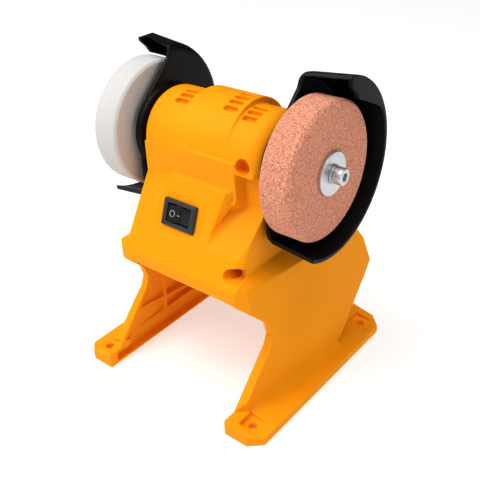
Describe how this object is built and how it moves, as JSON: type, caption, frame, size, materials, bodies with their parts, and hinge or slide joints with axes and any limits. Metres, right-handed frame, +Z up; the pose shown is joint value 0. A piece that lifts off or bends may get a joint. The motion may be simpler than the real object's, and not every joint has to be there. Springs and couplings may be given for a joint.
{
  "type": "mini bench grinder",
  "caption": "Small bench grinder with a tube-shaped motor housing on two raked legs, a grinding wheel and a polishing wheel under half-round guards, and a rocker switch on a sloped panel.",
  "frame": {"origin": "on the bench, under the middle of the shaft, at the centre of the footprint", "axes": "+X along the shaft towards the grinding wheel, +Y from the switch panel to the back, +Z up"},
  "size_m": [0.1532, 0.136, 0.1901],
  "materials": {
    "yellow_plastic": "fine moulded satin",
    "black_guard": "satin",
    "dark_plastic": "matte",
    "motor_steel": "plated",
    "bearing_steel": "ground",
    "magnet": "sintered",
    "copper": "bright",
    "brass": "bright",
    "zinc": "zinc plated",
    "switch_plastic": "semi-gloss",
    "pink_abrasive": "open-grained abrasive",
    "white_felt": "pressed wool felt"
  },
  "bodies": {
    "stand": {"main_housing": "yellow_plastic", "rear_cover": "yellow_plastic", "left_guard": "black_guard", "right_guard": "black_guard", "motor_can": "motor_steel", "left_end_bell": "dark_plastic", "right_end_bell": "dark_plastic", "field_magnets": "magnet", "shaft_bearings": "bearing_steel", "brush_holders": "brass", "carbon_brushes": "magnet", "motor_screw": "zinc", "cover_screws": "zinc", "guard_screws": "zinc", "switch_body": "switch_plastic", "switch_terminals": "brass", "power_socket": "switch_plastic", "socket_nut": "zinc"},
    "rotor": {"shaft": "bearing_steel", "armature_core": "motor_steel", "armature_windings": "copper", "commutator": "copper", "cooling_fan": "dark_plastic", "wheel_flanges": "zinc", "grinding_wheel": "pink_abrasive", "polishing_wheel": "white_felt", "clamp_washers": "zinc", "spring_washers": "zinc", "clamp_bolts": "zinc"},
    "rocker": {"switch_rocker": "switch_plastic"}
  },
  "joints": [
    {"name": "rotor_spin", "type": "hinge", "parent": "stand", "child": "rotor", "pos_m": [0, 0, 0.141], "axis": [1, 0, 0], "continuous": true},
    {"name": "rocker_tilt", "type": "hinge", "parent": "stand", "child": "rocker", "pos_m": [-0.0067, -0.03391, 0.10723], "axis": [0, 0.5105, 0.8599], "range_deg": [-24, 0]}
  ]
}
